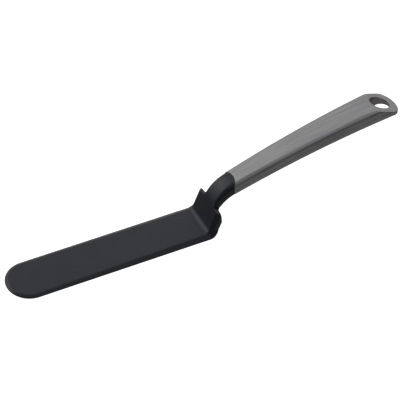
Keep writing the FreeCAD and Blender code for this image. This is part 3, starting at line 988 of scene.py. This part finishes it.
def sleeve_material():
    material, nodes, links, shader = new_material("moulded polypropylene")
    place = nodes.new("ShaderNodeTexCoord").outputs["Object"]
    cloudy = noise(nodes, links, place, *SLEEVE_CLOUDS)
    grain = noise(nodes, links, place, *SLEEVE_GRAIN)
    body = ramp(nodes, links, cloudy, 0.3, 0.7, SLEEVE_BODY)
    links.new(body, shader.inputs["Base Color"])
    links.new(mapped(nodes, links, grain, *SLEEVE_ROUGHNESS), shader.inputs["Roughness"])
    bump(nodes, links, shader, grain, GRAIN_DEPTH, 0.5)
    return material


# ---------------------------------------------------------------- studio

def floor_material():
    material, nodes, links, shader = new_material("pale floor")
    place = nodes.new("ShaderNodeTexCoord").outputs["Object"]
    cloudy = noise(nodes, links, place, *FLOOR_CLOUDS)
    body = ramp(nodes, links, cloudy, 0.3, 0.7, FLOOR_BODY)
    links.new(body, shader.inputs["Base Color"])
    shader.inputs["Roughness"].default_value = FLOOR_ROUGHNESS
    shader.inputs["Emission Color"].default_value = WHITE
    shader.inputs["Emission Strength"].default_value = 1.0
    return material


def make_floor():
    size = FLOOR_HALF_SIZE
    drop = CAD_LOW.z - FLOOR_DROP
    mesh = bpy.data.meshes.new("floor")
    corners = [(-size, -size, drop), (size, -size, drop), (size, size, drop), (-size, size, drop)]
    mesh.from_pydata(corners, [], [(0, 1, 2, 3)])
    mesh.materials.append(floor_material())
    floor = bpy.data.objects.new("floor", mesh)
    bpy.context.scene.collection.objects.link(floor)
    floor.visible_glossy = False
    floor.visible_diffuse = False


def glow(nodes, links, direction, towards, start, stop, value):
    """Light that grows smoothly as a direction nears towards."""
    dot = nodes.new("ShaderNodeVectorMath")
    dot.operation = "DOT_PRODUCT"
    dot.inputs[1].default_value = Vector(towards).normalized()
    links.new(direction, dot.inputs[0])
    span = nodes.new("ShaderNodeMapRange")
    span.interpolation_type = "SMOOTHSTEP"
    span.inputs["From Min"].default_value = start
    span.inputs["From Max"].default_value = stop
    span.inputs["To Min"].default_value = 0
    span.inputs["To Max"].default_value = value
    links.new(dot.outputs["Value"], span.inputs["Value"])
    return span.outputs["Result"]


def make_world():
    """Soft studio light: a broad glow behind and above the tool, smaller ones at its side and
    in front, and a little light from the floor. The camera itself sees white."""
    world = bpy.data.worlds.new("studio")
    bpy.context.scene.world = world
    world.use_nodes = True
    nodes, links = world.node_tree.nodes, world.node_tree.links
    direction = nodes.new("ShaderNodeTexCoord").outputs["Generated"]
    back = glow(nodes, links, direction, *BACK_GLOW)
    front = glow(nodes, links, direction, *FRONT_GLOW)
    side = glow(nodes, links, direction, *SIDE_GLOW)
    floor = glow(nodes, links, direction, *FLOOR_GLOW)
    light = add(nodes, links, add(nodes, links, back, side), add(nodes, links, front, floor))
    ambient = nodes.new("ShaderNodeMath")
    ambient.inputs[1].default_value = AMBIENT
    links.new(light, ambient.inputs[0])
    seen = nodes.new("ShaderNodeLightPath").outputs["Is Camera Ray"]
    strength = add(nodes, links, ambient.outputs["Value"], seen, "MAXIMUM")
    nodes["Background"].inputs["Color"].default_value = WHITE
    links.new(strength, nodes["Background"].inputs["Strength"])


def soft_light(name, place, target, size, power):
    data = bpy.data.lights.new(name, "AREA")
    data.shape = "RECTANGLE"
    data.size, data.size_y = size
    data.energy = power
    light = bpy.data.objects.new(name, data)
    bpy.context.scene.collection.objects.link(light)
    light.location = place
    light.rotation_mode = "QUATERNION"
    light.rotation_quaternion = (Vector(target) - Vector(place)).to_track_quat("-Z", "Y")


def make_camera():
    data = bpy.data.cameras.new("camera")
    data.lens = CAMERA_LENS
    data.sensor_width = 36
    data.clip_end = 20
    camera = bpy.data.objects.new("camera", data)
    bpy.context.scene.collection.objects.link(camera)
    camera.location = CAMERA_PLACE
    camera.rotation_mode = "QUATERNION"
    camera.rotation_quaternion = Vector(CAMERA_AIM).to_track_quat("-Z", "Y")
    bpy.context.scene.camera = camera


def main():
    steel = steel_material("brushed steel", HANDLE_STEEL, HANDLE_ROUGHNESS, 1)
    collar = steel_material("drawn steel", COLLAR_STEEL, COLLAR_ROUGHNESS, 0.5)
    make_head(nylon_material())
    make_shell("upper_shell", "handle_upper_shell", 1, steel)
    make_shell("lower_shell", "handle_lower_shell", -1, steel)
    make_collar(collar)
    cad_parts["tang_sleeve"].material_slots[0].material = sleeve_material()
    make_floor()
    make_world()
    soft_light("back softbox", SOFTBOX_PLACE, SOFTBOX_TARGET, SOFTBOX_SIZE, SOFTBOX_WATTS)
    make_camera()
    bpy.context.scene.view_settings.view_transform = "Standard"


main()
